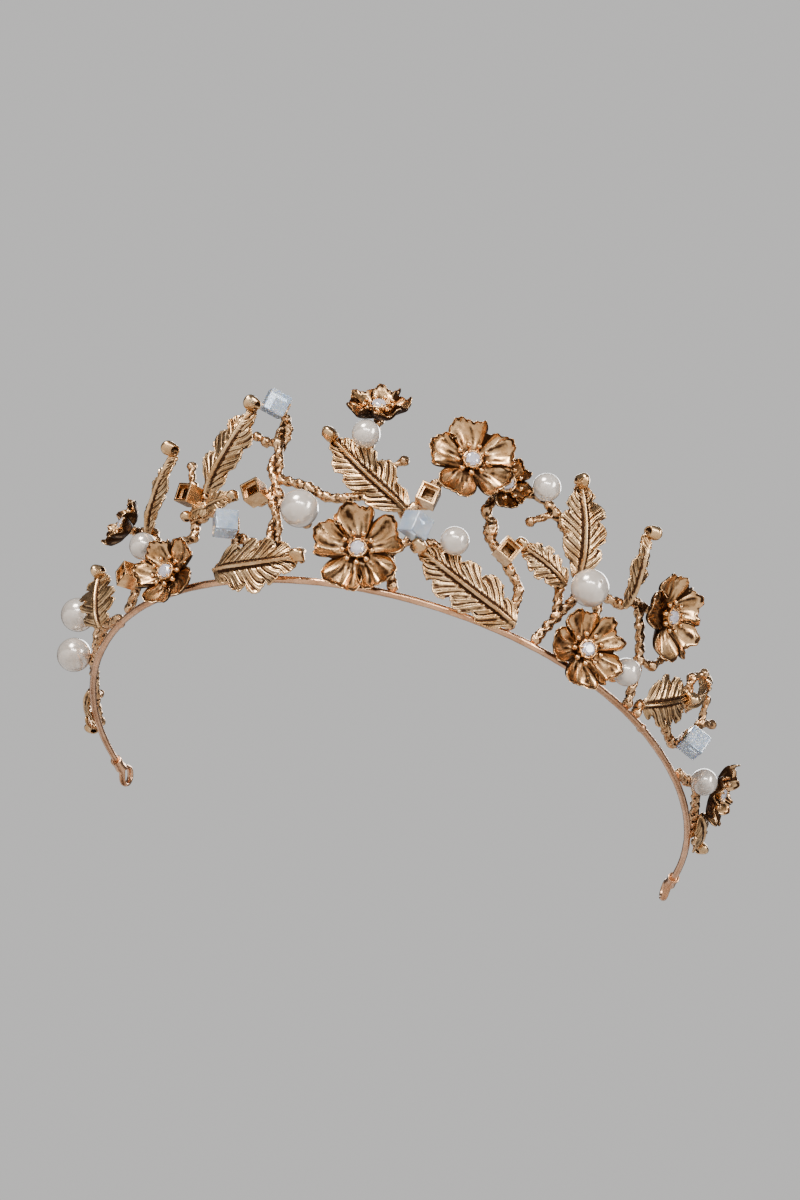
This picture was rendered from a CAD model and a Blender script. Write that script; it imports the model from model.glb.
import math

import bmesh
import bpy
import numpy as np
from mathutils import Matrix


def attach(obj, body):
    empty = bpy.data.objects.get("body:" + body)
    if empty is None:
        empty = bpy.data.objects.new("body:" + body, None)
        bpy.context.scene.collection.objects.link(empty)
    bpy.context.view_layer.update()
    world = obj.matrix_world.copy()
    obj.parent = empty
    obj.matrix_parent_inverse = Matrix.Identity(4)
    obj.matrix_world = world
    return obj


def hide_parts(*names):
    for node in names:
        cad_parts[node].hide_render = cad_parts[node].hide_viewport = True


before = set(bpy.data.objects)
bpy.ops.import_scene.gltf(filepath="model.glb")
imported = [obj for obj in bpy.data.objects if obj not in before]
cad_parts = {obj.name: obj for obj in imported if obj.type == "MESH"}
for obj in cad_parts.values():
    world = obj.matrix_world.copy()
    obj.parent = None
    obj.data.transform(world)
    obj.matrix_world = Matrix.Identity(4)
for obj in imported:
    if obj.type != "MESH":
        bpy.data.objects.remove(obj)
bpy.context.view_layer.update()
rng = np.random.default_rng(7)

# ---------------------------------------------------------------- the CAD's sizes, in mm
FRONT_R, SIDE_R, FRONT_ANGLE, END_ANGLE = 68.0, 95.0, 60.0, 103.0
WIRE_D, BAND_LIFT, FLARE = 1.6, 5.71, 0.25
LOOP_HOLE_R, LOOP_RIM, COLLAR_LENGTH, COLLAR_WALL = 1.6, 1.2, 4.0, 0.5
DROP_REACH = 1.38
KNOT_D, STRAND_KNOT_D, BALL_D, BITE = 2.1, 1.5, 2.4, 0.15
LARGE_PEARL, SMALL_PEARL, PEG_D, HOLE_DEPTH, GLUE = 8.0, 6.0, 0.8, 3.4, 0.05
CUBE_SIDE, CUBE_BEVEL, BRACKET_WALL, BRACKET_H = 4.8, 0.45, 0.6, 3.0
SETTING_SIDE, SETTING_WALL = 4.2, 0.5
PETAL_T, PETAL_CUP, STEM_D, FLOWER_GAP = 0.7, 2.6, 2.2, 0.6
STAMENS, STAMEN_BALL, CHATON_D, CUP_WALL = 9, 1.2, 3.2, 0.4
LEAF_TONGUE, LEAF_BACK, ROLL_AT, ROLL_TURN = 1.0, 0.55, 0.9, math.radians(300)
PETALS, PETAL_HEIGHT, PETAL_SHARE = 5, 3.1, 0.965
PLAN_SHIFT = (-0.04, 20.96)
KNOT_FACE = KNOT_D / 2 - BITE

# Seats on the twigs: angle along the band, height over the wire, and sometimes a stand-off.
SEAT = {
    "far_left_upper_pearl": (-76, 13), "far_left_lower_pearl": (-78, 4.5),
    "left_pearl": (-47, 10.5), "arch_pearl": (-13.5, 12.5), "top_pearl": (-5.5, 30, 1),
    "centre_pearl": (12, 11.6, 1), "right_arch_pearl": (23, 29.8),
    "right_large_pearl": (35, 14), "right_low_pearl": (48, 4), "right_end_pearl": (76, 3),
    "tall_cube": (-21, 36), "left_cube": (-26.5, 9.5), "centre_cube": (5.5, 12.5),
    "right_cube": (67.5, 4), "sprig": (-33.5, 16.5),
    "left_flower": (-40.5, 3.2), "far_left_flower": (-56, 20), "top_flower": (-5, 36.6),
    "front_flower": (-3, 7), "tall_flower": (11, 28.5), "right_flower": (39.5, 4),
    "far_right_flower": (52, 21.5), "side_flower": (16.8, 28.5),
    "right_end_flower": (85, 10),
    "tall_left_leaf": (-34, 21), "low_left_leaf": (-29, 2), "centre_left_leaf": (2.5, 18),
    "long_leaf": (25.5, 2), "tall_right_leaf": (33.5, 18.5),
    "small_right_leaf": (31.5, 14.5), "edge_right_leaf": (43.5, 18),
    "low_right_leaf": (57, 3.5), "edge_left_leaf": (-49, 16.5), "far_left_leaf": (-68, 5),
    "left_end_leaf": (-86.5, 3.5), "curled_right_leaf": (65.6, 12),
    "right_end_leaf": (86, 3.5),
}
SETTING_SEATS = [(-52.5, 6.5), (-37, 19.5), (-23, 17.5), (6, 20.5), (20.5, 14.5)]
SETTING_TURNS = [-20, 15, -25, 10, 20]

# lean, length, width, bow, face
LEAVES = {
    "tall_left_leaf": [(29, 22, 10.5, 1, 0)], "low_left_leaf": [(86, 22, 12.5, 1, -4)],
    "centre_left_leaf": [(-55, 24, 10.5, 0.6, 2)], "long_leaf": [(-72, 26, 11.5, 0.8, 3.5)],
    "tall_right_leaf": [(-22, 20, 11, 1, 0)], "small_right_leaf": [(-74, 13, 7.5, 1, 0)],
    "edge_right_leaf": [(-28, 17, 8, 1, 35)], "low_right_leaf": [(51, 16, 12, 1, 0)],
    "edge_left_leaf": [(38, 20, 9, 1, -12)], "far_left_leaf": [(-8, 14, 12, 1, 30)],
    "left_end_leaf": [(-98, 14, 7, 1, 0)], "curled_right_leaf": [(14, 11, 8, 2, 45)],
    "right_end_leaf": [(92, 14, 8.5, 1, 0)],
    "left_leaf_sprig": [(78, 8.5, 5, 1, 0), (-100, 6, 4, 1, 0)],
}

# turn to the side, turn downwards, radius, turn of the petals, stem
FLOWERS = {
    "left_flower": (18, 0, 7.6, 10, FLOWER_GAP), "far_left_flower": (0, -20, 6, 130, FLOWER_GAP),
    "top_flower": (0, -40, 6.8, 50, FLOWER_GAP), "front_flower": (6, 4, 9.6, 0, FLOWER_GAP),
    "tall_flower": (0, -6, 9.2, 75, FLOWER_GAP + 4.2),
    "side_flower": (6, 4, 5.4, 30, FLOWER_GAP), "right_flower": (-8, 2, 8.4, 20, FLOWER_GAP),
    "far_right_flower": (8, 0, 9.5, 95, FLOWER_GAP),
    "right_end_flower": (0, 0, 7.5, 160, FLOWER_GAP),
}


# ---------------------------------------------------------------- placing, as the CAD does
def band_x(a):
    r = math.radians(a)
    if abs(a) <= FRONT_ANGLE:
        return FRONT_R * math.sin(r)
    return math.copysign(
        SIDE_R * math.sin(abs(r)) - (SIDE_R - FRONT_R) * math.sin(math.radians(FRONT_ANGLE)), a
    )


def band_y(a):
    r = math.radians(a)
    if abs(a) <= FRONT_ANGLE:
        return -FRONT_R * math.cos(r)
    return (SIDE_R - FRONT_R) * math.cos(math.radians(FRONT_ANGLE)) - SIDE_R * math.cos(r)


def plan_r(a):
    return FRONT_R if abs(a) <= FRONT_ANGLE else SIDE_R


def at(seat, off=0.0):
    out = off + FLARE * seat[1] + (seat[2] if len(seat) > 2 else 0)
    r = math.radians(seat[0])
    return np.array([band_x(seat[0]) + out * math.sin(r), band_y(seat[0]) - out * math.cos(r),
                     seat[1]])


def foot(a):
    return (a, WIRE_D / 2 + KNOT_D / 2 - BITE)


def beside(seat, toward, other_d=KNOT_D):
    span = math.hypot(math.radians(toward[0] - seat[0]) * (plan_r(seat[0]) + FLARE * seat[1]),
                      toward[1] - seat[1])
    share = ((KNOT_D + other_d) / 2 - BITE) / span
    return (seat[0] + share * (toward[0] - seat[0]), seat[1] + share * (toward[1] - seat[1]))


def move(x, y, z):
    return np.array(Matrix.Translation((x, y, z)))


def turn(degrees, axis):
    return np.array(Matrix.Rotation(math.radians(degrees), 4, axis))


LOOP_R = LOOP_HOLE_R + LOOP_RIM
REAR_Y = band_y(END_ANGLE) + LOOP_R + COLLAR_LENGTH
REST_TILT = -math.degrees(math.asin((BAND_LIFT - LOOP_R) / (REAR_Y + FRONT_R)))
STAND = (move(PLAN_SHIFT[0], PLAN_SHIFT[1], BAND_LIFT) @ move(0, -FRONT_R, 0)
         @ turn(REST_TILT, "X") @ move(0, FRONT_R, 0))


def on(seat, off=0.0, face=0.0):
    return (move(*at(seat, off)) @ turn(seat[0] + face, "Z")
            @ turn(math.degrees(math.atan(FLARE)), "X"))


def flower_place(name):
    face, tip, r, seed, stem = FLOWERS[name]
    return on(SEAT[name], KNOT_FACE, face) @ turn(90 + tip, "X") @ move(0, 0, stem)


def placed(points, matrix):
    return points @ matrix[:3, :3].T + matrix[:3, 3]


# ---------------------------------------------------------------- mesh tools
def grid_faces(rows, cols, start=0, wrap=False, flip=False):
    i = np.arange(rows - 1)[:, None]
    j = np.arange(cols if wrap else cols - 1)[None, :]
    k = (j + 1) % cols
    quads = np.stack([i * cols + j, i * cols + k, (i + 1) * cols + k, (i + 1) * cols + j], -1)
    quads = quads.reshape(-1, 4) + start
    return quads[:, ::-1] if flip else quads


def raw_mesh(name, points, faces):
    mesh = bpy.data.meshes.new(name)
    mesh.from_pydata(np.asarray(points, float).tolist(), [], [list(map(int, f)) for f in faces])
    mesh.validate()
    mesh.update()
    return mesh


def arrays(mesh):
    co = np.empty(len(mesh.vertices) * 3, np.float32)
    mesh.vertices.foreach_get("co", co)
    edges = np.empty(len(mesh.edges) * 2, np.int32)
    mesh.edges.foreach_get("vertices", edges)
    normal = np.empty(len(mesh.vertices) * 3, np.float32)
    mesh.vertices.foreach_get("normal", normal)
    return co.reshape(-1, 3).astype(float), edges.reshape(-1, 2), normal.reshape(-1, 3).astype(float)


def spread(values, edges, count, rounds):
    """Averages values over neighbouring vertices, a few times."""
    for _ in range(rounds):
        total = np.array(values, float)
        weight = np.ones(count)
        np.add.at(total, edges[:, 0], values[edges[:, 1]])
        np.add.at(total, edges[:, 1], values[edges[:, 0]])
        np.add.at(weight, edges[:, 0], 1)
        np.add.at(weight, edges[:, 1], 1)
        values = total / (weight[:, None] if total.ndim > 1 else weight)
    return values


def hollows(mesh, reach=2, gain=1.6):
    """How deep each vertex lies among its neighbours, 0 on ridges to 1 in grooves."""
    co, edges, normal = arrays(mesh)
    smooth = spread(co, edges, len(co), 3 * reach)
    depth = ((smooth - co) * normal).sum(1)
    depth = spread(depth, edges, len(co), 1)
    scale = np.percentile(np.abs(depth), 92) + 1e-9
    return np.clip(0.5 + 0.5 * gain * depth / scale, 0, 1)


def remeshed(points, faces, voxel, smooth_rounds=1):
    """One closed skin round overlapping closed pieces, all in mm."""
    mesh = raw_mesh("skin", points, faces)
    obj = bpy.data.objects.new("skin", mesh)
    bpy.context.scene.collection.objects.link(obj)
    mod = obj.modifiers.new("skin", "REMESH")
    mod.mode = "VOXEL"
    mod.voxel_size = voxel
    mod.adaptivity = 0
    bpy.context.view_layer.update()
    evaluated = obj.evaluated_get(bpy.context.evaluated_depsgraph_get())
    made = bpy.data.meshes.new_from_object(evaluated)
    bpy.data.objects.remove(obj)
    bpy.data.meshes.remove(mesh)
    co, edges, _ = arrays(made)
    co = spread(co, edges, len(co), smooth_rounds)
    made.vertices.foreach_set("co", co.astype(np.float32).ravel())
    made.update()
    return made


def finish_piece(node, mesh, material, patina=None, smooth=True, matrix=None, suffix="detail"):
    """Turns a mesh in mm into a piece in metres that stands for a CAD node."""
    co, _, _ = arrays(mesh)
    if patina is None:
        patina = hollows(mesh)
    if matrix is not None:
        co = placed(co, matrix)
    mesh.vertices.foreach_set("co", (co * 0.001).astype(np.float32).ravel())
    layer = mesh.attributes.new("patina", "FLOAT", "POINT")
    layer.data.foreach_set("value", np.asarray(patina, np.float32))
    mesh.polygons.foreach_set("use_smooth", [smooth] * len(mesh.polygons))
    mesh.update()
    obj = bpy.data.objects.new(f"{node}_{suffix}", mesh)
    bpy.context.scene.collection.objects.link(obj)
    mesh.materials.clear()
    mesh.materials.append(material)
    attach(obj, "root")
    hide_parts(node)
    return obj


def ball(centre, radius, rows=12, cols=20, squash=(1, 1, 1)):
    t = np.linspace(0, math.pi, rows + 1)[1:-1]
    p = np.linspace(0, 2 * math.pi, cols, endpoint=False)
    ring = np.stack([np.outer(np.sin(t), np.cos(p)), np.outer(np.sin(t), np.sin(p)),
                     np.outer(np.cos(t), np.ones(cols))], -1).reshape(-1, 3)
    pts = np.vstack([ring, [[0, 0, 1], [0, 0, -1]]]) * radius * np.array(squash) + centre
    faces = [list(f) for f in grid_faces(rows - 1, cols, wrap=True, flip=True)]
    top, low, last = len(ring), len(ring) + 1, (rows - 2) * cols
    for j in range(cols):
        k = (j + 1) % cols
        faces.append([top, j, k])
        faces.append([low, last + k, last + j])
    return pts, faces


def tube(path, radius, cols=14, lobes=0.0, twist=0.0, wobble=0.0, phase=0.0):
    """A closed tube along path. Its section has two lobes that twist, as two strands do."""
    path = np.asarray(path, float)
    tangent = np.gradient(path, axis=0)
    tangent /= np.linalg.norm(tangent, axis=1)[:, None] + 1e-12
    along = np.concatenate([[0], np.cumsum(np.linalg.norm(np.diff(path, axis=0), axis=1))])
    up = np.array([0.0, 0.0, 1.0]) if abs(tangent[0][2]) < 0.9 else np.array([0.0, 1.0, 0.0])
    side = np.cross(tangent[0], up)
    side /= np.linalg.norm(side)
    pts = []
    angle = np.linspace(0, 2 * math.pi, cols, endpoint=False)
    radius = np.broadcast_to(np.asarray(radius, float), (len(path),))
    for i, (p, t) in enumerate(zip(path, tangent)):
        side = side - t * side.dot(t)
        side /= np.linalg.norm(side)
        other = np.cross(t, side)
        r = radius[i] * (1 + lobes * np.cos(2 * (angle - twist * along[i] - phase))
                         + wobble * math.sin(2.3 * along[i] + phase)
                         + 0.6 * wobble * math.sin(5.1 * along[i] + 2 * phase))
        pts.append(p + np.outer(r * np.cos(angle), side) + np.outer(r * np.sin(angle), other))
    pts = np.vstack(pts)
    faces = [list(f) for f in grid_faces(len(path), cols, wrap=True)]
    faces.append(list(range(cols))[::-1])
    faces.append(list(range((len(path) - 1) * cols, len(path) * cols)))
    return pts, faces


def joined(parts):
    points, faces, n = [], [], 0
    for p, f in parts:
        points.append(p)
        faces += [[int(q) + n for q in g] for g in f]
        n += len(p)
    return np.vstack(points), faces


def curve_through(points, step=0.35, ease=0.35):
    """A gentle curve through points, which keeps close to the straight run between them."""
    points = np.asarray(points, float)
    ext = np.vstack([2 * points[0] - points[1], points, 2 * points[-1] - points[-2]])
    out = []
    for i in range(1, len(ext) - 2):
        a, b = ext[i], ext[i + 1]
        ta, tb = (ext[i + 1] - ext[i - 1]) * ease, (ext[i + 2] - ext[i]) * ease
        n = max(3, int(np.linalg.norm(b - a) / step))
        for t in np.linspace(0, 1, n, endpoint=False):
            h = (2 * t**3 - 3 * t**2 + 1, t**3 - 2 * t**2 + t, -2 * t**3 + 3 * t**2, t**3 - t**2)
            out.append(h[0] * a + h[1] * ta + h[2] * b + h[3] * tb)
    out.append(points[-1])
    return np.array(out)


def box_part(size, matrix, centre=(0, 0, 0)):
    half = np.array(size, float) / 2
    pts = np.array([[x, y, z] for x in (-1, 1) for y in (-1, 1) for z in (-1, 1)], float) * half
    faces = [[0, 1, 3, 2], [4, 6, 7, 5], [0, 4, 5, 1], [2, 3, 7, 6], [0, 2, 6, 4], [1, 5, 7, 3]]
    return placed(pts + np.array(centre), matrix), faces


# ---------------------------------------------------------------- materials
def nodes_for(name):
    material = bpy.data.materials.new(name)
    material.use_nodes = True
    tree = material.node_tree
    tree.nodes.clear()
    out = tree.nodes.new("ShaderNodeOutputMaterial")
    shader = tree.nodes.new("ShaderNodeBsdfPrincipled")
    tree.links.new(shader.outputs[0], out.inputs["Surface"])
    coord = tree.nodes.new("ShaderNodeTexCoord")
    return material, tree, shader, coord.outputs["Object"]


def noise(tree, coord, scale, detail=5.0, rough=0.6):
    node = tree.nodes.new("ShaderNodeTexNoise")
    node.inputs["Scale"].default_value = scale
    node.inputs["Detail"].default_value = detail
    node.inputs["Roughness"].default_value = rough
    tree.links.new(coord, node.inputs["Vector"])
    return node.outputs[0]


def ramp(tree, value, stops):
    node = tree.nodes.new("ShaderNodeValToRGB")
    tree.links.new(value, node.inputs[0])
    bar = node.color_ramp
    while len(bar.elements) < len(stops):
        bar.elements.new(0.5)
    for element, (where, colour) in zip(bar.elements, stops):
        element.position = where
        if not hasattr(colour, "__len__"):
            colour = (colour, colour, colour)
        element.color = (*colour, 1)
    return node.outputs[0]


def math_node(tree, kind, a, b):
    node = tree.nodes.new("ShaderNodeMath")
    node.operation = kind
    for socket, value in zip(node.inputs, (a, b)):
        if isinstance(value, (int, float)):
            socket.default_value = value
        else:
            tree.links.new(value, socket)
    return node.outputs[0]


def mixed(tree, factor, a, b, kind="MIX"):
    node = tree.nodes.new("ShaderNodeMix")
    node.data_type = "RGBA"
    node.blend_type = kind
    for socket, value in ((node.inputs[0], factor), (node.inputs[6], a), (node.inputs[7], b)):
        if isinstance(value, tuple):
            socket.default_value = (*value, 1)
        elif isinstance(value, (int, float)):
            socket.default_value = value
        else:
            tree.links.new(value, socket)
    return node.outputs[2]


def bump(tree, shader, height, strength, distance):
    node = tree.nodes.new("ShaderNodeBump")
    node.inputs["Strength"].default_value = strength
    node.inputs["Distance"].default_value = distance
    tree.links.new(height, node.inputs["Height"])
    tree.links.new(node.outputs[0], shader.inputs["Normal"])


def antique_gold(name, pale, deep, dark, low_rough=0.2, patina_gain=1.0, grain=900.0):
    """Cast and plated metal: polished on the ridges, brown in the recesses."""
    material, tree, shader, coord = nodes_for(name)
    worn = tree.nodes.new("ShaderNodeAttribute")
    worn.attribute_name = "patina"
    cloud = noise(tree, coord, 260.0, 4.0)
    speck = noise(tree, coord, grain, 6.0, 0.7)
    tone = ramp(tree, cloud, [(0.32, deep), (0.62, pale)])
    mottled = mixed(tree, ramp(tree, speck, [(0.35, 0.0), (0.75, 0.5)]), tone,
                    tuple(0.72 * c for c in deep))
    grime = math_node(tree, "ADD", worn.outputs["Fac"],
                      math_node(tree, "MULTIPLY", math_node(tree, "SUBTRACT", speck, 0.5), 0.5))
    lift = 0.4 / max(patina_gain, 0.1)
    mask = ramp(tree, grime, [(min(0.94, 0.36 + lift * 0.3), 0.0), (min(0.99, 0.5 + lift), 1.0)])
    tree.links.new(mixed(tree, mask, mottled, dark), shader.inputs["Base Color"])
    shader.inputs["Metallic"].default_value = 1.0
    rough = math_node(tree, "ADD",
                      ramp(tree, speck, [(0.3, low_rough), (0.8, low_rough + 0.16)]),
                      math_node(tree, "MULTIPLY", mask, 0.3))
    tree.links.new(rough, shader.inputs["Roughness"])
    bump(tree, shader, speck, 0.35, 0.00006)
    return material


ROSE = antique_gold("rose_gold_leaf", (0.90, 0.62, 0.35), (0.60, 0.33, 0.135),
                    (0.05, 0.022, 0.011), 0.18, 2.6)
WARM = antique_gold("warm_gold_petal", (0.92, 0.60, 0.32), (0.60, 0.31, 0.12),
                    (0.045, 0.02, 0.009), 0.17, 2.4)
TWIG = antique_gold("antique_gold_twig", (0.86, 0.56, 0.31), (0.54, 0.28, 0.12),
                    (0.05, 0.023, 0.011), 0.2, 2.4, 1300.0)
WIRE = antique_gold("rose_gold_wire", (0.84, 0.50, 0.30), (0.62, 0.32, 0.17),
                    (0.12, 0.055, 0.03), 0.2, 0.8, 700.0)


def pearl_material():
    material, tree, shader, coord = nodes_for("pearl_lustre")
    cloud = noise(tree, coord, 190.0, 3.0)
    fine = noise(tree, coord, 2600.0, 4.0)
    body = ramp(tree, cloud, [(0.3, (0.62, 0.54, 0.47)), (0.7, (0.78, 0.71, 0.64))])
    rim = tree.nodes.new("ShaderNodeLayerWeight")
    rim.inputs["Blend"].default_value = 0.35
    tree.links.new(body, shader.inputs["Base Color"])
    tree.links.new(ramp(tree, rim.outputs["Facing"], [(0.2, 1.0), (0.9, 0.5)]),
                   shader.inputs["Coat Weight"])
    tree.links.new(ramp(tree, fine, [(0.3, 0.16), (0.8, 0.26)]), shader.inputs["Roughness"])
    shader.inputs["Specular IOR Level"].default_value = 0.75
    shader.inputs["Coat Roughness"].default_value = 0.06
    shader.inputs["Metallic"].default_value = 0.4
    shader.inputs["Subsurface Weight"].default_value = 0.12
    shader.inputs["Subsurface Radius"].default_value = (0.0012, 0.001, 0.0008)
    bump(tree, shader, fine, 0.12, 0.00003)
    return material


def opal_material():
    material, tree, shader, coord = nodes_for("milky_opal")
    cloud = noise(tree, coord, 420.0, 5.0)
    wisps = noise(tree, coord, 900.0, 2.0)
    tree.links.new(ramp(tree, cloud, [(0.3, (0.44, 0.56, 0.72)), (0.55, (0.64, 0.71, 0.80)),
                                      (0.8, (0.80, 0.81, 0.82))]), shader.inputs["Base Color"])
    tree.links.new(ramp(tree, wisps, [(0.3, 0.07), (0.8, 0.2)]), shader.inputs["Roughness"])
    shader.inputs["Transmission Weight"].default_value = 0.5
    shader.inputs["IOR"].default_value = 1.46
    shader.inputs["Subsurface Weight"].default_value = 0.7
    shader.inputs["Subsurface Radius"].default_value = (0.0018, 0.0022, 0.003)
    shader.inputs["Coat Weight"].default_value = 0.6
    shader.inputs["Coat Roughness"].default_value = 0.04
    bump(tree, shader, wisps, 0.06, 0.00003)
    return material


def stone_material():
    material, tree, shader, coord = nodes_for("clear_stone")
    tint = noise(tree, coord, 1500.0, 3.0)
    tree.links.new(ramp(tree, tint, [(0.35, (0.84, 0.78, 0.93)), (0.65, (0.97, 0.95, 1.0))]),
                   shader.inputs["Base Color"])
    tree.links.new(ramp(tree, tint, [(0.3, 0.01), (0.8, 0.06)]), shader.inputs["Roughness"])
    shader.inputs["Transmission Weight"].default_value = 0.55
    shader.inputs["IOR"].default_value = 1.9
    shader.inputs["Coat Weight"].default_value = 1.0
    shader.inputs["Coat Roughness"].default_value = 0.02
    return material


PEARL, OPAL, STONE = pearl_material(), opal_material(), stone_material()


# ---------------------------------------------------------------- leaves
def leaf_mesh(long, wide, bow, seed):
    """Front skin with a raised midrib, swept veins, lobes and a tip rolled into a scroll."""
    rows, cols = int(80 + long * 9), 60
    u = np.linspace(0, 1, rows)[:, None]
    v = np.linspace(-1, 1, cols)[None, :]
    size = min(1.0, long / 18)
    s = np.clip(u / ROLL_AT, 0, 1)
    side = np.sign(v)
    bend = 0.7 * math.sin(1.7 * seed + 0.5)
    half = wide / 2 * np.sin(math.pi * np.clip(s, 0, 1) ** 0.74) ** 0.8
    lobes = 4 + (seed % 2)
    sweep = s * lobes + 0.25 * side + 0.13 * np.sin(seed)
    saw = sweep - np.floor(sweep)
    notch = np.exp(-((saw - 0.1) / 0.14) ** 2) + 0.5 * np.exp(-((saw - 0.96) / 0.1) ** 2)
    veins = max(7, int(long * 0.55))
    swept = s - 0.17 * np.abs(v) * (1 - 0.35 * s) + 0.012 * np.sin(9 * s + 5 * v + seed)
    strength = 0.75 + 0.35 * np.sin(7.3 * s + 1.7 * side + seed) * np.sin(2.9 * v + seed)
    vein = 2 * np.abs(np.sin(math.pi * veins * swept + 0.3 * side)) ** 0.7 - 1
    fine = np.cos(2 * math.pi * 2.5 * veins * swept + 1.1 * side + seed)
    edge = 1 - 0.34 * notch * np.abs(v) ** 2 - 0.012 * (1 - vein) * strength * np.abs(v)
    edge = edge - 0.004 * fine + 0.06 * np.sin(11 * s + 2 * side + seed) * np.abs(v)
    neck = 0.55 + 0.45 * np.clip(s / 0.05, 0, 1)
    half = np.maximum(half * edge, 0.75 * neck)
    body = np.clip((s - 0.04) / 0.12, 0, 1) * np.clip((1 - s) / 0.08, 0, 1)
    flat = np.clip((np.abs(v) - 0.07) / 0.12, 0, 1)
    rib = (0.62 * (1 - 0.6 * s) + 0.12) * size * np.exp(-((v * half) / (0.34 * size + 0.1)) ** 2)
    trench = 0.28 * size * np.exp(-((np.abs(v) * half - 0.75 * size) / 0.33) ** 2) * body
    out = 1.1 * size * (1 - np.abs(v)) * np.sin(math.pi * np.minimum(0.5, 2 * s))
    out = out + rib - trench
    out = out + body * flat * strength * (0.21 * vein + 0.07 * fine) * size
    out = out + 0.45 * size * body * np.abs(v) ** 5
    out = out + 0.4 * size * body * np.abs(v) ** 2 * np.sin(2 * math.pi * 2.5 * s + 2 * side + seed)
    out = out - 0.35 * size * notch * np.abs(v) ** 2 * body
    out = out + bow * np.sin(math.pi * s)
    roll_r = 0.5 + 0.035 * long
    phi = np.clip((u - ROLL_AT) / (1 - ROLL_AT), 0, 1) * ROLL_TURN
    spiral = roll_r * (1 - 0.45 * phi / ROLL_TURN)
    reach = long - roll_r
    z = (reach + LEAF_TONGUE) * s - LEAF_TONGUE
    z = z + 0.4 * long * np.abs(v) * s * (1 - s) * body
    roll_half = 0.75 + 0.045 * wide
    widening = roll_half * np.clip((u - ROLL_AT + 0.04) / 0.04, 0, 1)
    half = np.where(u > ROLL_AT - 0.04, np.maximum(half, widening), half)
    x = v * half + bend * size * np.sin(math.pi * s)
    y = -LEAF_BACK - out
    z = z + spiral * np.sin(phi)
    y = y - spiral * (1 - np.cos(phi))
    front = np.stack(np.broadcast_arrays(x, y, z), -1)
    du, dv = np.gradient(front, axis=0), np.gradient(front, axis=1)
    normal = np.cross(du, dv)
    normal /= np.linalg.norm(normal, axis=-1)[..., None] + 1e-12
    for _ in range(6):
        normal[1:-1] = (normal[:-2] + normal[1:-1] + normal[2:]) / 3
        normal[:, 1:-1] = (normal[:, :-2] + normal[:, 1:-1] + normal[:, 2:]) / 3
    normal /= np.linalg.norm(normal, axis=-1)[..., None] + 1e-12
    if normal[rows // 2, cols // 2, 1] < 0:
        normal = -normal
    thick = 0.5 - 0.18 * np.abs(v) ** 4 + 0.25 * np.exp(-(v * half / 0.8) ** 2)
    back = front + normal * np.broadcast_to(thick, front.shape[:2])[..., None]
    points = np.vstack([front.reshape(-1, 3), back.reshape(-1, 3)])
    n = rows * cols
    faces = [list(f) for f in grid_faces(rows, cols)]
    faces += [list(f) for f in grid_faces(rows, cols, n, flip=True)]
    for i in range(rows - 1):
        a, b = i * cols, (i + 1) * cols
        faces.append([a, b, b + n, a + n])
        c, d = a + cols - 1, b + cols - 1
        faces.append([c, c + n, d + n, d])
    for j in range(cols - 1):
        faces.append([j, j + n, j + 1 + n, j + 1])
        e = (rows - 1) * cols + j
        faces.append([e, e + 1, e + 1 + n, e + n])
    return points, faces


def leaf_place(name, spec):
    lean, long, wide, bow, face = spec
    seat = SEAT["sprig"] if name == "left_leaf_sprig" else SEAT[name]
    follow = math.degrees(long * math.sin(math.radians(lean)) / (2 * plan_r(seat[0])))
    return on(seat, KNOT_FACE, follow + face) @ turn(lean, "Y")


def outward(mesh):
    """Turns the faces outwards."""
    work = bmesh.new()
    work.from_mesh(mesh)
    bmesh.ops.remove_doubles(work, verts=work.verts, dist=1e-5)
    bmesh.ops.recalc_face_normals(work, faces=work.faces)
    work.to_mesh(mesh)
    work.free()
    mesh.update()
    return mesh


for number, (node, specs) in enumerate(LEAVES.items()):
    parts = []
    for k, spec in enumerate(specs):
        points, faces = leaf_mesh(spec[1], spec[2], spec[3], number + 3 * k)
        parts.append((placed(points, STAND @ leaf_place(node, spec)), faces))
    mesh = outward(raw_mesh(node, *joined(parts)))
    finish_piece(node, mesh, ROSE, hollows(mesh, 2, 1.5))


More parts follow.
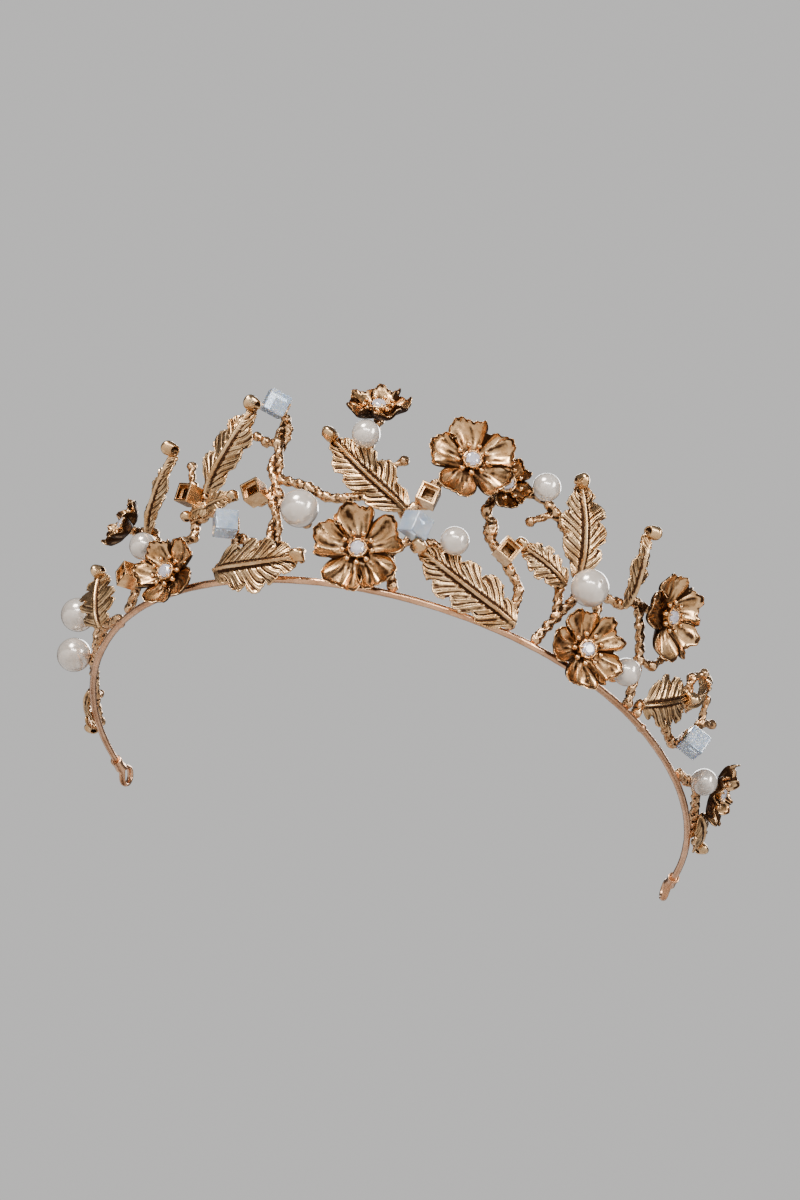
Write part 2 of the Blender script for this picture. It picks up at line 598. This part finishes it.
# ---------------------------------------------------------------- petals
def petal_mesh(r, seed):
    """Cupped and ruffled petals in one pressed ring, with how near the middle each point is."""
    rows, cols = 44, 360
    rho = np.linspace(0, 1, rows)[:, None]
    theta = np.linspace(0, 360, cols, endpoint=False)[None, :]
    pitch = 360 / PETALS
    which = np.floor(theta / pitch)
    p = (theta - pitch * which) / pitch
    across = np.abs(2 * p - 1)
    wave = np.sin(np.radians(620 * p + 97 * which + seed))
    small = np.sin(np.radians(360 * 7 * p + 51 * which + 2 * seed))
    s = np.clip((rho - 0.22) / 0.78, 0, 1)
    inner = STEM_D / 2 + GLUE
    rim = 1 - 0.42 * across**7
    radius = inner + (PETAL_SHARE * r - inner) * rho * (rim + (1 - rim) * (1 - rho) ** 2)
    radius = radius * (1 + 0.05 * rho * wave + 0.014 * rho**3 * small)
    size = r / 9
    z = 0.82 * PETAL_CUP * s**1.2 + 0.75 * s**2 * wave
    z = z + 1.6 * size * s * across**2.5 * (1 - 0.5 * s)
    z = z - 1.9 * size * s * (1 - s) * (1 - across**2)
    fold = np.cos(2 * math.pi * 2.5 * p + 1.9 * which + 1.3 * s + seed)
    pleat = np.cos(2 * math.pi * 5 * p + which + 1.6 * np.sin(4 * s + which))
    z = z + size * (0.26 * fold * s + 0.05 * pleat * (1 - 0.6 * s)) * np.clip(s * 3, 0, 1)
    z = z + 0.1 * size * s**4 * small + 0.4 * np.clip((s - 0.86) / 0.14, 0, 1) ** 2
    z = np.where(z > PETAL_HEIGHT, PETAL_HEIGHT + 0.3 * np.tanh((z - PETAL_HEIGHT) / 0.5), z)
    a = np.radians(theta + 5 * s * np.sin(np.radians(2 * pitch * which + seed)))
    front = np.stack(np.broadcast_arrays(radius * np.cos(a), radius * np.sin(a), z + PETAL_T), -1)
    thick = 0.55 - 0.1 * s - 0.22 * np.clip((rho - 0.96) / 0.04, 0, 1) ** 2
    dr = np.gradient(front, axis=0)
    dt = np.roll(front, -1, 1) - np.roll(front, 1, 1)
    normal = np.cross(dr, dt)
    normal /= np.linalg.norm(normal, axis=-1)[..., None] + 1e-12
    for _ in range(10):
        normal = (np.roll(normal, 1, 1) + normal + np.roll(normal, -1, 1)) / 3
        normal[1:-1] = (normal[:-2] + normal[1:-1] + normal[2:]) / 3
    normal /= np.linalg.norm(normal, axis=-1)[..., None] + 1e-12
    back = front - normal * np.broadcast_to(thick, front.shape[:2])[..., None]
    points = np.vstack([front.reshape(-1, 3), back.reshape(-1, 3)])
    n = rows * cols
    faces = [list(f) for f in grid_faces(rows, cols, wrap=True)]
    faces += [list(f) for f in grid_faces(rows, cols, n, wrap=True, flip=True)]
    for j in range(cols):
        k = (j + 1) % cols
        faces.append([j, k, k + n, j + n])
        e, g = (rows - 1) * cols + j, (rows - 1) * cols + k
        faces.append([e, e + n, g + n, g])
    centre = np.tile(np.broadcast_to(1 - rho, (rows, cols)).ravel(), 2)
    return points, faces, centre


def stamen_parts(stem):
    """Stem, disc, stone cup with its claws, and the ball stamens round it."""
    cup_r = CHATON_D / 2 + GLUE + CUP_WALL
    cup_z = PETAL_T + 0.6
    parts = []
    line = lambda z0, z1, n=6: [[0, 0, z] for z in np.linspace(z0, z1, n)]
    parts.append(tube(line(-stem, cup_z), STEM_D / 2, 28))
    parts.append(tube(line(PETAL_T, cup_z), STEM_D / 2 + 0.6, 28))
    parts.append(tube(line(cup_z - 0.1, cup_z + 0.42), cup_r, 36))
    ring = [[(cup_r - 0.22) * math.cos(t), (cup_r - 0.22) * math.sin(t), cup_z + 0.95]
            for t in np.linspace(0, 2 * math.pi, 49)]
    wall = []
    for z in (0.4, 0.7, 1.0, 1.3):
        wall.append(tube([[p[0], p[1], cup_z + z] for p in ring], 0.24, 10))
    parts += wall
    for k in range(6):
        t = math.radians(60 * k + 12)
        root = np.array([cup_r * math.cos(t), cup_r * math.sin(t), cup_z + 0.5])
        top = np.array([(cup_r - 0.55) * math.cos(t), (cup_r - 0.55) * math.sin(t), cup_z + 1.75])
        parts.append(tube([root, root * [0.99, 0.99, 1] + [0, 0, 0.8], top], [0.24, 0.24, 0.2], 10))
        parts.append(ball(top, 0.24, 8, 10))
    for k in range(STAMENS):
        t = 2 * math.pi * k / STAMENS
        out = np.array([math.cos(t), math.sin(t), 0])
        root = out * (cup_r - 0.3) + [0, 0, cup_z + 0.35]
        top = out * (cup_r + 1.1) + [0, 0, cup_z + 1.3]
        parts.append(tube(np.linspace(root, top, 6), 0.3, 10))
        parts.append(ball(top, STAMEN_BALL / 2, 12, 16))
    return parts


def brilliant():
    """A round stone: table, crown, girdle and a pointed pavilion."""
    r = CHATON_D / 2
    rings = [(0.55 * r, 1.6, 0.0), (0.84 * r, 1.36, 22.5), (r, 1.0, 0.0), (r, 0.88, 0.0),
             (0.5 * r, 0.4, 22.5)]
    pts = []
    for radius, z, spin in rings:
        pts += [[radius * math.cos(math.radians(45 * k + spin)),
                 radius * math.sin(math.radians(45 * k + spin)), z] for k in range(8)]
    pts.append([0, 0, 0.08])
    faces = [list(range(8))]
    for i in range(4):
        for k in range(8):
            a, b = 8 * i + k, 8 * i + (k + 1) % 8
            c, d = 8 * (i + 1) + k, 8 * (i + 1) + (k + 1) % 8
            if i == 0 or i == 3:
                faces += [[a, c, b], [b, c, d]]
            elif i == 1:
                faces += [[a, c, d], [a, d, b]]
            else:
                faces.append([a, c, d, b])
    for k in range(8):
        faces.append([32 + k, 40, 32 + (k + 1) % 8])
    return np.array(pts), faces


stones = []
for name in FLOWERS:
    _, _, r, seed, stem = FLOWERS[name]
    place = STAND @ flower_place(name)
    points, faces, centre = petal_mesh(r, seed)
    mesh = raw_mesh(name, placed(points, place @ turn(seed, "Z")), faces)
    grime = np.clip(1.15 * hollows(mesh, 2, 1.4) + 0.35 * np.clip(centre - 0.4, 0, 1), 0, 1)
    finish_piece(f"{name}_petals", mesh, WARM, grime)
    mesh = remeshed(*joined(stamen_parts(stem)), 0.1, 1)
    finish_piece(f"{name}_stamens", mesh, WARM, hollows(mesh, 3, 1.2), matrix=place)
    points, faces = brilliant()
    stones.append((placed(points, place @ move(0, 0, PETAL_T + 0.6 + 0.42)), faces))
mesh = outward(raw_mesh("chatons", *joined(stones)))
finish_piece("chatons", mesh, STONE, np.zeros(len(mesh.vertices)), smooth=False)


# ---------------------------------------------------------------- twig branches
def strand(k, steps, phase):
    low = 4.0
    h = low + (SEAT["tall_cube"][1] - 2.4 - low) * k / steps
    spin = math.radians(360 * 2 * k / steps + phase)
    return (-20.3 + 1.1 * math.sin(math.radians(h * 10)) + 0.675 * math.cos(spin), h,
            0.9 * math.sin(spin))


S = SEAT
G = SETTING_SEATS
START_ARCH = beside(strand(5, 8, 180), (-14.5, 20.5), STRAND_KNOT_D)
# Each branch has its routes, the routes that end in a ball, its pegs and its brackets.
BRANCHES = {
    "far_left_branch": (
        [[foot(-89), S["left_end_leaf"], (-82, 5), S["far_left_lower_pearl"],
          S["far_left_upper_pearl"]],
         [S["far_left_lower_pearl"], (-71, 4), S["far_left_leaf"], foot(-61)]],
        [[S["far_left_upper_pearl"], (-72, 17)], [S["left_end_leaf"], (-90, 7)],
         [S["left_end_leaf"], (-92.5, 4, 1), (-96, 5, 1.5)], [(-71, 4), (-70.5, 9.5)]],
        ["far_left_upper_pearl", "far_left_lower_pearl"], []),
    "left_branch": (
        [[foot(-56), G[0], S["left_pearl"], (-41.5, 11.5), (-37, 11.5), (-37, 15), G[1],
          S["tall_left_leaf"]], [(-37, 15), S["sprig"]],
         [S["left_pearl"], S["edge_left_leaf"], S["far_left_flower"]],
         [(-41.5, 11.5), (-41.5, 7.5), S["left_flower"]]],
        [[G[1], (-39, 24), (-40, 29)], [G[0], (-58, 9)]], ["left_pearl"], []),
    "twin_stem_branch": (
        [[strand(4, 8, 0), G[2]], [strand(1, 8, 180), (-23.5, 8), S["left_cube"], foot(-28)]],
        [[strand(7, 8, 180), (-24, 31), (-26, 32.5)]], [],
        [("tall_cube", 20), ("left_cube", -10)]),
    "pearl_arch_branch": (
        [[START_ARCH, (-14.5, 20.5), (-11, 18.5), (-7.5, 18.5), (-4.5, 20, -0.5),
          beside(S["centre_left_leaf"], (-4.5, 20))], [(-14.5, 20.5), S["arch_pearl"]],
         [(-4.5, 20, -0.5), (-5, 25, -0.6), S["top_pearl"], S["top_flower"]]],
        [[(-5, 25, -0.6), (-1.5, 26.5), (0.5, 28.5)]], ["arch_pearl", "top_pearl"], []),
    "centre_branch": (
        [[foot(-7), S["front_flower"], (2, 8.5), S["centre_cube"], S["centre_pearl"]],
         [S["centre_cube"], (4, 15.5), S["centre_left_leaf"], G[3], (6.5, 25),
          S["tall_flower"]], [(2, 8.5), (3, 5), foot(4)]],
        [[S["centre_pearl"], (14.5, 8.5), (17, 10)]], ["centre_pearl"], [("centre_cube", 8)]),
    "bud_branch": (
        [[beside(S["tall_flower"], S["side_flower"]), S["side_flower"], (15.5, 23), (17, 20.5),
          (17.5, 17.5), G[4], (22.5, 12.5), (25, 9.5), S["long_leaf"]]], [], [], []),
    "right_arch_branch": (
        [[beside(S["side_flower"], S["right_arch_pearl"]), S["right_arch_pearl"], (26.5, 28),
          (30.5, 24), S["tall_right_leaf"], S["right_large_pearl"], (33, 8), foot(31)],
         [(33, 8), S["small_right_leaf"]]], [[(26.5, 28), (23, 24)]],
        ["right_arch_pearl", "right_large_pearl"], []),
    "right_branch": (
        [[beside(S["right_large_pearl"], (39, 17)), (39, 17), S["edge_right_leaf"],
          (46.5, 20.5), (49, 17), (52, 11), foot(54)],
         [(39, 17), (40.5, 11.5), (44.5, 8), S["right_low_pearl"]],
         [(40.5, 11.5), S["right_flower"]], [(46.5, 20.5), S["far_right_flower"]]],
        [[(52, 11), (55.5, 12), (57.5, 16)]], ["right_low_pearl"], []),
    "far_right_branch": (
        [[foot(57), S["low_right_leaf"], (61, 6.5), S["curled_right_leaf"], (65, 18)],
         [(61, 6.5), S["right_cube"], (70.5, 9), (72, 14)]],
        [[(65, 18), (67, 21.5)], [(72, 14), (70.5, 18.5)], [(72, 14), (75, 17)]], [],
        [("right_cube", 12)]),
    "right_end_branch": (
        [[foot(73), S["right_end_pearl"], (80, 6), S["right_end_flower"]],
         [(80, 6), S["right_end_leaf"], foot(89)]],
        [[S["right_end_leaf"], (90.5, 5, 1), (94.5, 4.5, 1)]], ["right_end_pearl"], []),
}
CUBE_OFF = KNOT_FACE + BRACKET_WALL * math.sqrt(2) + (CUBE_SIDE / 2 + GLUE) * math.sqrt(2)


def bracket_parts(cube, lean):
    """Two walls that meet behind the cube."""
    outer = CUBE_SIDE + 2 * GLUE + 2 * BRACKET_WALL
    place = on(SEAT[cube], CUBE_OFF) @ turn(lean, "Y") @ turn(45, "Z")
    off = outer / 2 - BRACKET_WALL / 2
    wide = outer / 2 + 0.5
    return [box_part((BRACKET_WALL, wide, BRACKET_H), place, (off, outer / 2 - wide / 2, 0)),
            box_part((wide, BRACKET_WALL, BRACKET_H), place, (outer / 2 - wide / 2, off, 0))]


for number, (node, (routes, shoots, pegs, brackets)) in enumerate(BRANCHES.items()):
    parts, seen = [], set()
    for k, route in enumerate(routes + shoots):
        path = curve_through([at(s) for s in route])
        ends = np.linspace(0, 1, len(path))
        slim = k >= len(routes)
        width = 1.0 if not slim else 0.86 - 0.12 * ends
        parts.append(tube(path, width, 18, 0.17, 1.25, 0.06, number + 1.7 * k))
        for s in route[: -1 if slim else None]:
            if s not in seen:
                seen.add(s)
                parts.append(ball(at(s), 1.25))
        if slim:
            parts.append(ball(at(route[-1]), BALL_D / 2 - 0.05))
    if node == "twin_stem_branch":
        for phase in (0, 180):
            run = [foot(-20)] + [strand(k, 48, phase) for k in range(49)] + [S["tall_cube"]]
            parts.append(tube(curve_through([at(s) for s in run], 0.5), 0.86, 16, 0.12, 1.6, 0.09,
                              phase / 60))
            for k in (1, 3, 5, 6):
                parts.append(ball(at(strand(k, 8, phase)), 0.88))
        parts.append(ball(at(foot(-20)), 1.1))
        parts.append(ball(at(S["tall_cube"]), 1.15))
    if node == "bud_branch":
        top, low = at((17, 20.5)), at((17.5, 17.5))
        for t, radius in ((0.0, 1.35), (0.3, 1.62), (0.6, 1.6), (0.95, 1.25)):
            parts.append(ball(top + (low - top) * t, radius))
    for p in pegs:
        a = at(SEAT[p])
        r = math.radians(SEAT[p][0])
        out = np.array([math.sin(r), -math.cos(r), 0])
        parts.append(tube(np.linspace(a, a + out * (KNOT_D / 2 + HOLE_DEPTH - 0.1), 5), PEG_D / 2, 12))
        parts.append(tube(np.linspace(a, a + out * 1.12, 3), 1.35, 18))
    for cube, lean in brackets:
        parts += bracket_parts(cube, lean)
    mesh = remeshed(*joined(parts), 0.17, 2)
    co, edges, normal = arrays(mesh)
    rough = spread(rng.standard_normal(len(co)), edges, len(co), 5)
    grain = spread(rng.standard_normal(len(co)), edges, len(co), 1)
    co = co + normal * (0.26 * rough + 0.015 * grain)[:, None]
    mesh.vertices.foreach_set("co", co.astype(np.float32).ravel())
    mesh.update()
    finish_piece(node, mesh, TWIG, hollows(mesh, 3, 1.4), matrix=STAND)


# ---------------------------------------------------------------- pearls
def pearl_mesh(d, dimple=False):
    """Turned about Z: drilled from behind, with a crater round a through hole if dimple."""
    r, hole = d / 2, PEG_D / 2 + GLUE
    floor = -r + HOLE_DEPTH
    low = math.acos(-math.sqrt(1 - (hole / r) ** 2))
    first = math.asin(0.3 / r) if dimple else 0.0
    profile = [(r * math.sin(t), r * math.cos(t)) for t in np.linspace(first, low, 56)]
    if dimple:
        profile = [(0.0, r - 0.5), (0.26, r - 0.45), (0.3, r - 0.12)] + profile
    else:
        profile[0] = (0.0, r)
    profile += [(hole, -r + 0.3), (hole, floor), (0.0, floor)]
    cols, rings, points = 72, profile[1:-1], []
    for radius, z in rings:
        a = np.linspace(0, 2 * math.pi, cols, endpoint=False)
        points.append(np.stack([radius * np.cos(a), radius * np.sin(a), np.full(cols, z)], -1))
    points = np.vstack(points + [np.array([[0, 0, profile[0][1]], [0, 0, floor]])])
    faces = [list(f) for f in grid_faces(len(rings), cols, wrap=True)]
    top, low_i, last = len(rings) * cols, len(rings) * cols + 1, (len(rings) - 1) * cols
    for j in range(cols):
        k = (j + 1) % cols
        faces.append([top, k, j])
        faces.append([low_i, last + j, last + k])
    return points, faces


PEARLS = {
    "far_left_pearls": [("far_left_upper_pearl", LARGE_PEARL), ("far_left_lower_pearl", LARGE_PEARL)],
    "left_pearl": [("left_pearl", SMALL_PEARL)], "arch_pearl": [("arch_pearl", LARGE_PEARL)],
    "top_pearl": [("top_pearl", SMALL_PEARL)], "centre_pearl": [("centre_pearl", SMALL_PEARL)],
    "right_arch_pearl": [("right_arch_pearl", SMALL_PEARL)],
    "right_large_pearl": [("right_large_pearl", LARGE_PEARL)],
    "right_low_pearl": [("right_low_pearl", SMALL_PEARL)],
    "right_end_pearl": [("right_end_pearl", SMALL_PEARL)],
}
for node, group in PEARLS.items():
    parts = []
    for seat, d in group:
        points, faces = pearl_mesh(d, node == "right_large_pearl")
        place = move(*at(SEAT[seat], KNOT_D / 2 + GLUE + d / 2)) @ turn(SEAT[seat][0], "Z")
        parts.append((placed(points, STAND @ place @ turn(90, "X")), faces))
    mesh = outward(raw_mesh(node, *joined(parts)))
    finish_piece(node, mesh, PEARL, np.zeros(len(mesh.vertices)))


# ---------------------------------------------------------------- opal cubes and settings
def bevelled(name, points, faces, width, segments):
    """A mesh with rounded edges wherever two faces meet at an angle."""
    mesh = raw_mesh(name, points, faces)
    work = bmesh.new()
    work.from_mesh(mesh)
    bmesh.ops.recalc_face_normals(work, faces=work.faces)
    sharp = [e for e in work.edges if e.calc_face_angle(0) > 0.5]
    bmesh.ops.bevel(work, geom=sharp, offset=width, segments=segments, affect="EDGES", profile=0.6)
    work.to_mesh(mesh)
    work.free()
    mesh.update()
    return mesh


CUBES = {"tall_opal_cube": ("tall_cube", 20), "left_opal_cube": ("left_cube", -10),
         "centre_opal_cube": ("centre_cube", 8), "right_opal_cube": ("right_cube", 12)}
for node, (seat, lean) in CUBES.items():
    place = STAND @ on(SEAT[seat], CUBE_OFF) @ turn(lean, "Y") @ turn(45, "Z")
    points, faces = box_part((CUBE_SIDE,) * 3, np.eye(4))
    mesh = bevelled(node, points, faces, CUBE_BEVEL * 0.9, 3)
    finish_piece(node, mesh, OPAL, np.zeros(len(mesh.vertices)), smooth=False, matrix=place)


def setting_shell():
    """A square box, open towards -Y, with a ledge inside."""
    o, i, depth = SETTING_SIDE / 2, SETTING_SIDE / 2 - SETTING_WALL, SETTING_SIDE
    loops = [(o, o), (o, -o), (i, -o), (i, -o + 1.1), (i - 0.45, -o + 1.1),
             (i - 0.45, depth / 2 - SETTING_WALL)]
    pts = []
    for half, y in loops:
        pts += [[-half, y, -half], [half, y, -half], [half, y, half], [-half, y, half]]
    faces = [[0, 1, 2, 3]]
    for k in range(len(loops) - 1):
        for j in range(4):
            a, b = 4 * k + j, 4 * k + (j + 1) % 4
            faces.append([a, b, b + 4, a + 4])
    last = 4 * (len(loops) - 1)
    faces.append([last + 3, last + 2, last + 1, last])
    return np.array(pts, float), faces


parts = []
for seat, spin in zip(SETTING_SEATS, SETTING_TURNS):
    points, faces = setting_shell()
    parts.append((placed(points, STAND @ on(seat, KNOT_FACE + SETTING_SIDE / 2) @ turn(spin, "Y")),
                  faces))
mesh = bevelled("square_settings", *joined(parts), 0.16, 3)
co, _, _ = arrays(mesh)
deep = np.zeros(len(co))
for seat, spin in zip(SETTING_SEATS, SETTING_TURNS):
    back = np.linalg.inv(STAND @ on(seat, KNOT_FACE + SETTING_SIDE / 2) @ turn(spin, "Y"))
    local = placed(co, back)
    inside = ((np.abs(local[:, 0]) < SETTING_SIDE / 2 - SETTING_WALL + 0.1)
              & (np.abs(local[:, 2]) < SETTING_SIDE / 2 - SETTING_WALL + 0.1)
              & (np.abs(local[:, 1]) < SETTING_SIDE / 2 + 0.2))
    deep[inside] = np.clip(0.4 + (local[inside, 1] + SETTING_SIDE / 2) * 0.05, 0, 0.6)
finish_piece("square_settings", mesh, WARM, deep, smooth=False)


# ---------------------------------------------------------------- band wire and end loops
steps = np.linspace(-END_ANGLE, END_ANGLE, 520)
path = np.array([at((a, 0)) for a in steps])
path[:, 2] = 0
wire = tube(path, WIRE_D / 2 * (1 + 0.02 * np.sin(steps * 0.9) + 0.015 * np.sin(steps * 2.3)), 24)
beads = [ball(at((side * FRONT_ANGLE, 0)), WIRE_D / 2 + 0.22, 16, 24, (1.1, 1.1, 1.0))
         for side in (-1, 1)]
mesh = remeshed(*joined([wire] + beads), 0.2, 1)
finish_piece("band_wire", mesh, WIRE, hollows(mesh, 2, 0.8), matrix=STAND)


def end_loop_parts(side):
    """A collar over the wire's end, and a flat drop with a round-ended hole."""
    place = move(side * band_x(END_ANGLE), band_y(END_ANGLE), 0) @ turn(
        90 + side * (END_ANGLE - 90), "Z")
    collar_d = WIRE_D + 2 * GLUE + 2 * COLLAR_WALL
    apex = DROP_REACH * LOOP_R
    start = -COLLAR_LENGTH + 1.5
    line = [[x, 0, 0] for x in np.linspace(start, 1.5, 24)]
    swell = [collar_d / 2 * (1 + 0.06 * math.cos(6 * x)) for x in np.linspace(0, 1, 24)]
    parts = [tube(line, swell, 24)]
    mid = (LOOP_HOLE_R + LOOP_R) / 2
    reach = DROP_REACH * mid
    turn_at = math.acos(mid / reach)
    loop = [(mid * math.cos(t), mid * math.sin(t))
            for t in np.linspace(turn_at, 2 * math.pi - turn_at, 60)]
    point = (reach, 0.0)
    first = [(point[0] + (loop[0][0] - point[0]) * t, point[1] + (loop[0][1] - point[1]) * t)
             for t in np.linspace(0, 1, 12, endpoint=False)]
    last = [(loop[-1][0] + (point[0] - loop[-1][0]) * t, loop[-1][1] + (point[1] - loop[-1][1]) * t)
            for t in np.linspace(0, 1, 13)[1:]]
    ring = np.array([(1.2 + apex - x, 0, -z) for x, z in first + loop + last])
    for y in (-0.36, 0.0, 0.36):
        parts.append(tube(ring + [0, y, 0], LOOP_RIM / 2 - (0.14 if y else 0.02), 16))
    return [(placed(p, place), f) for p, f in parts]


for node, side in (("left_end_loop", -1), ("right_end_loop", 1)):
    mesh = remeshed(*joined(end_loop_parts(side)), 0.11, 3)
    finish_piece(node, mesh, WIRE, hollows(mesh, 3, 0.9), matrix=STAND)


# ---------------------------------------------------------------- floor, light and camera
floor_mesh = raw_mesh("floor", [[-3, -3, 0], [3, -3, 0], [3, 3, 0], [-3, 3, 0]], [[0, 1, 2, 3]])
floor = bpy.data.objects.new("floor", floor_mesh)
bpy.context.scene.collection.objects.link(floor)
floor.location.z = -0.0002
# The reference view is from below the table, so the floor's underside lets the camera through.
surface = bpy.data.materials.new("pale_floor")
surface.use_nodes = True
tree = surface.node_tree
tree.nodes.clear()
out = tree.nodes.new("ShaderNodeOutputMaterial")
top = tree.nodes.new("ShaderNodeBsdfPrincipled")
top.inputs["Base Color"].default_value = (0.62, 0.61, 0.60, 1)
top.inputs["Roughness"].default_value = 0.7
clear = tree.nodes.new("ShaderNodeBsdfTransparent")
both = tree.nodes.new("ShaderNodeMixShader")
geometry = tree.nodes.new("ShaderNodeNewGeometry")
light_path = tree.nodes.new("ShaderNodeLightPath")
seen = math_node(tree, "MULTIPLY", geometry.outputs["Backfacing"], light_path.outputs["Is Camera Ray"])
tree.links.new(seen, both.inputs[0])
tree.links.new(top.outputs[0], both.inputs[1])
tree.links.new(clear.outputs[0], both.inputs[2])
tree.links.new(both.outputs[0], out.inputs["Surface"])
floor_mesh.materials.append(surface)

world = bpy.data.worlds.new("studio")
bpy.context.scene.world = world
world.use_nodes = True
tree = world.node_tree
tree.nodes.clear()
out = tree.nodes.new("ShaderNodeOutputWorld")
shown = tree.nodes.new("ShaderNodeBackground")
shown.inputs["Color"].default_value = (0.80, 0.79, 0.78, 1)
shown.inputs["Strength"].default_value = 0.8
room = tree.nodes.new("ShaderNodeBackground")
room.inputs["Color"].default_value = (0.42, 0.41, 0.42, 1)
room.inputs["Strength"].default_value = 0.3
both = tree.nodes.new("ShaderNodeMixShader")
light_path = tree.nodes.new("ShaderNodeLightPath")
tree.links.new(light_path.outputs["Is Camera Ray"], both.inputs[0])
tree.links.new(room.outputs[0], both.inputs[1])
tree.links.new(shown.outputs[0], both.inputs[2])
tree.links.new(both.outputs[0], out.inputs["Surface"])


def softbox(name, place, aim, size, watts, colour=(1, 1, 1)):
    light = bpy.data.lights.new(name, "AREA")
    light.shape = "RECTANGLE"
    light.size, light.size_y = size
    light.energy = watts
    light.color = colour
    obj = bpy.data.objects.new(name, light)
    bpy.context.scene.collection.objects.link(obj)
    obj.location = place
    back = Matrix.Translation(place).to_translation() - Matrix.Translation(aim).to_translation()
    obj.rotation_euler = back.to_track_quat("Z", "Y").to_euler()
    return obj


softbox("key", (-0.30, -0.62, 0.42), (0, -0.02, 0.03), (0.26, 0.26), 8.0, (1.0, 0.97, 0.93))
softbox("fill", (0.62, -0.42, 0.20), (0, -0.02, 0.03), (0.16, 0.45), 4.2, (1.0, 0.98, 0.96))
softbox("back", (0.05, 0.55, 0.55), (0, 0, 0.03), (0.6, 0.25), 5.0, (0.96, 0.98, 1.0))
softbox("low_front", (0.06, -0.60, 0.07), (0, -0.05, 0.03), (0.5, 0.06), 1.8)

# The camera, in the band's own frame: it looks up at a point by the front of the band.
LOOK_AT = np.array([-4.0, -12.8, 33.2])
LOOK_FROM, LOOK_TURN, LOOK_UP, LOOK_ROLL = 560.0, 11.4, 31.3, 17.0
turned, raised, rolled = np.radians([LOOK_TURN, LOOK_UP, LOOK_ROLL])
ahead = np.array([-math.sin(turned) * math.cos(raised), math.cos(turned) * math.cos(raised),
                  math.sin(raised)])
level = np.array([math.cos(turned), math.sin(turned), 0])
right = math.cos(rolled) * level + math.sin(rolled) * np.cross(level, ahead)
spot = placed(np.array([LOOK_AT - LOOK_FROM * ahead]), STAND)[0] / 1000
ahead, right = STAND[:3, :3] @ ahead, STAND[:3, :3] @ right
upright = np.cross(right, ahead)
lens = bpy.data.cameras.new("camera")
lens.sensor_fit = "VERTICAL"
lens.sensor_height = 36
lens.lens = 72
lens.clip_start, lens.clip_end = 0.01, 20
camera = bpy.data.objects.new("camera", lens)
bpy.context.scene.collection.objects.link(camera)
pose = np.eye(4)
pose[:3, 0], pose[:3, 1], pose[:3, 2] = right, upright, -ahead
pose[:3, 3] = spot
camera.matrix_world = Matrix(pose.tolist())
bpy.context.scene.camera = camera
